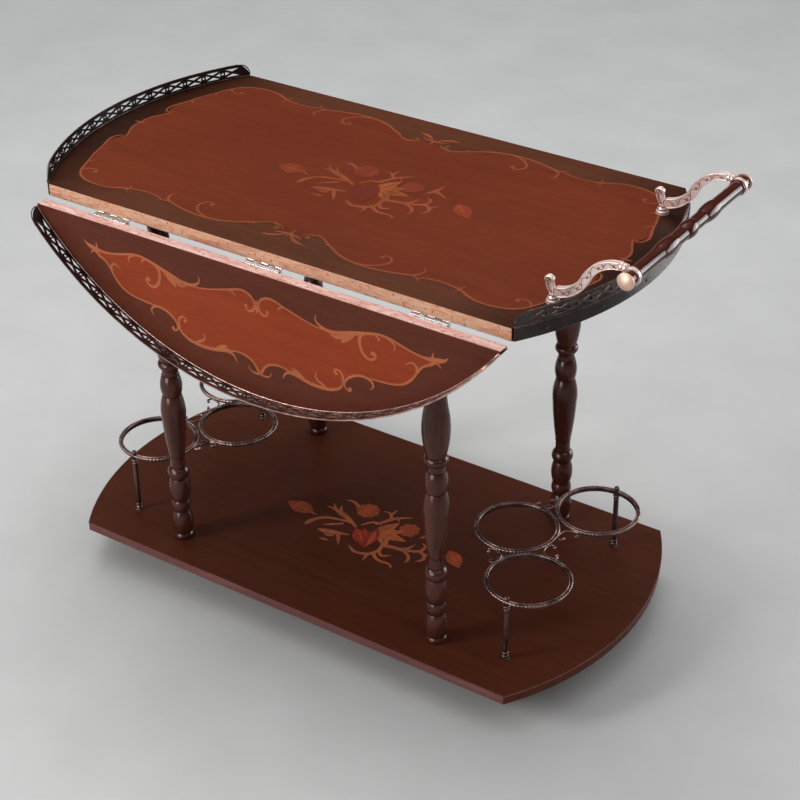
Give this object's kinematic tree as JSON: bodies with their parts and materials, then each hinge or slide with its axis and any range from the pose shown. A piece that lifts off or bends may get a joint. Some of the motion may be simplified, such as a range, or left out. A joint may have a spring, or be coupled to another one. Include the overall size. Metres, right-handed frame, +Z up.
{
  "type": "drop leaf tea trolley",
  "caption": "Wooden serving trolley with hinged drop leaves, turned legs, pierced metal gallery, lower shelf with bottle rings, push handle and swivel castors.",
  "frame": {"origin": "on the floor, under the middle of the whole trolley with both leaves hanging", "axes": "+X along the hinge lines towards the push handle, +Y across the trolley, +Z up"},
  "size_m": [0.8422, 0.497, 0.6525],
  "materials": {
    "top_panel_veneer": "lacquered veneer with inlay",
    "leaf_veneer": "lacquered veneer with inlay",
    "shelf_veneer": "lacquered veneer with inlay",
    "turned_wood": "dark stained gloss lacquer",
    "dowel_wood": "plain beech",
    "gallery_bronze": "dark antique bronze",
    "ring_bronze": "antique bronze",
    "bracket_metal": "polished rose bronze, dark recesses",
    "hinge_steel": "bright zinc plate",
    "fastener_steel": "zinc plate",
    "castor_steel": "zinc plate",
    "castor_tread": "black nylon"
  },
  "bodies": {
    "trolley": {"top_panel": "top_panel_veneer", "shelf": "shelf_veneer", "leg_dowels": "dowel_wood", "leg_bolts": "fastener_steel", "panel_hinge_plates": "hinge_steel", "panel_hinge_screws": "fastener_steel", "hinge_pins": "hinge_steel", "end_gallery_left": "gallery_bronze", "end_gallery_right": "gallery_bronze", "end_gallery_pins": "gallery_bronze", "bracket_screws": "fastener_steel", "handle_bracket_front": "bracket_metal", "handle_bracket_rear": "bracket_metal", "handle_rod": "turned_wood", "rod_cap_front": "bracket_metal", "rod_cap_rear": "bracket_metal", "ring_ties": "ring_bronze", "ring_posts": "ring_bronze", "ring_finials": "ring_bronze", "castor_plates": "castor_steel", "castor_screws": "fastener_steel", "leg_front_left": "turned_wood", "leg_front_right": "turned_wood", "leg_rear_left": "turned_wood", "leg_rear_right": "turned_wood", "bottle_ring_left_front": "ring_bronze", "bottle_ring_left_middle": "ring_bronze", "bottle_ring_left_rear": "ring_bronze", "bottle_ring_right_front": "ring_bronze", "bottle_ring_right_middle": "ring_bronze", "bottle_ring_right_rear": "ring_bronze"},
    "front_leaf": {"front_leaf": "leaf_veneer", "front_leaf_gallery": "gallery_bronze", "front_leaf_gallery_pins": "gallery_bronze", "front_leaf_hinge_plates": "hinge_steel", "front_leaf_hinge_screws": "fastener_steel", "front_leaf_stay_screws": "fastener_steel"},
    "rear_leaf": {"rear_leaf": "leaf_veneer", "rear_leaf_gallery": "gallery_bronze", "rear_leaf_gallery_pins": "gallery_bronze", "rear_leaf_hinge_plates": "hinge_steel", "rear_leaf_hinge_screws": "fastener_steel", "rear_leaf_stay_screws": "fastener_steel"},
    "front_stay_left": {"front_stay_left": "hinge_steel"},
    "front_stay_right": {"front_stay_right": "hinge_steel"},
    "rear_stay_left": {"rear_stay_left": "hinge_steel"},
    "rear_stay_right": {"rear_stay_right": "hinge_steel"},
    "castor_fork_front_left": {"castor_fork_front_left": "castor_steel", "castor_axle_front_left": "castor_steel"},
    "castor_wheel_front_left": {"castor_wheel_front_left": "castor_tread"},
    "castor_fork_front_right": {"castor_fork_front_right": "castor_steel", "castor_axle_front_right": "castor_steel"},
    "castor_wheel_front_right": {"castor_wheel_front_right": "castor_tread"},
    "castor_fork_rear_left": {"castor_fork_rear_left": "castor_steel", "castor_axle_rear_left": "castor_steel"},
    "castor_wheel_rear_left": {"castor_wheel_rear_left": "castor_tread"},
    "castor_fork_rear_right": {"castor_fork_rear_right": "castor_steel", "castor_axle_rear_right": "castor_steel"},
    "castor_wheel_rear_right": {"castor_wheel_rear_right": "castor_tread"}
  },
  "joints": [
    {"name": "front_leaf_hinge", "type": "hinge", "parent": "trolley", "child": "front_leaf", "pos_m": [-0.02335, -0.209, 0.5595], "axis": [-1, 0, 0], "range_deg": [0, 90]},
    {"name": "rear_leaf_hinge", "type": "hinge", "parent": "trolley", "child": "rear_leaf", "pos_m": [-0.02335, 0.209, 0.5595], "axis": [1, 0, 0], "range_deg": [0, 90]},
    {"name": "front_stay_left_turn", "type": "hinge", "parent": "front_leaf", "child": "front_stay_left", "pos_m": [-0.13835, -0.2135, 0.5345], "axis": [0, 1, 0], "range_deg": [0, 90]},
    {"name": "front_stay_right_turn", "type": "hinge", "parent": "front_leaf", "child": "front_stay_right", "pos_m": [0.09165, -0.2135, 0.5345], "axis": [0, -1, 0], "range_deg": [0, 90]},
    {"name": "rear_stay_left_turn", "type": "hinge", "parent": "rear_leaf", "child": "rear_stay_left", "pos_m": [-0.13835, 0.2135, 0.5345], "axis": [0, 1, 0], "range_deg": [0, 90]},
    {"name": "rear_stay_right_turn", "type": "hinge", "parent": "rear_leaf", "child": "rear_stay_right", "pos_m": [0.09165, 0.2135, 0.5345], "axis": [0, -1, 0], "range_deg": [0, 90]},
    {"name": "castor_swivel_front_left", "type": "hinge", "parent": "trolley", "child": "castor_fork_front_left", "pos_m": [-0.21335, -0.122, 0.05], "axis": [0, 0, 1], "continuous": true},
    {"name": "wheel_spin_front_left", "type": "hinge", "parent": "castor_fork_front_left", "child": "castor_wheel_front_left", "pos_m": [-0.22935, -0.122, 0.02], "axis": [0, 1, 0], "continuous": true},
    {"name": "castor_swivel_front_right", "type": "hinge", "parent": "trolley", "child": "castor_fork_front_right", "pos_m": [0.16665, -0.122, 0.05], "axis": [0, 0, 1], "continuous": true},
    {"name": "wheel_spin_front_right", "type": "hinge", "parent": "castor_fork_front_right", "child": "castor_wheel_front_right", "pos_m": [0.15065, -0.122, 0.02], "axis": [0, 1, 0], "continuous": true},
    {"name": "castor_swivel_rear_left", "type": "hinge", "parent": "trolley", "child": "castor_fork_rear_left", "pos_m": [-0.21335, 0.122, 0.05], "axis": [0, 0, 1], "continuous": true},
    {"name": "wheel_spin_rear_left", "type": "hinge", "parent": "castor_fork_rear_left", "child": "castor_wheel_rear_left", "pos_m": [-0.22935, 0.122, 0.02], "axis": [0, 1, 0], "continuous": true},
    {"name": "castor_swivel_rear_right", "type": "hinge", "parent": "trolley", "child": "castor_fork_rear_right", "pos_m": [0.16665, 0.122, 0.05], "axis": [0, 0, 1], "continuous": true},
    {"name": "wheel_spin_rear_right", "type": "hinge", "parent": "castor_fork_rear_right", "child": "castor_wheel_rear_right", "pos_m": [0.15065, 0.122, 0.02], "axis": [0, 1, 0], "continuous": true}
  ]
}
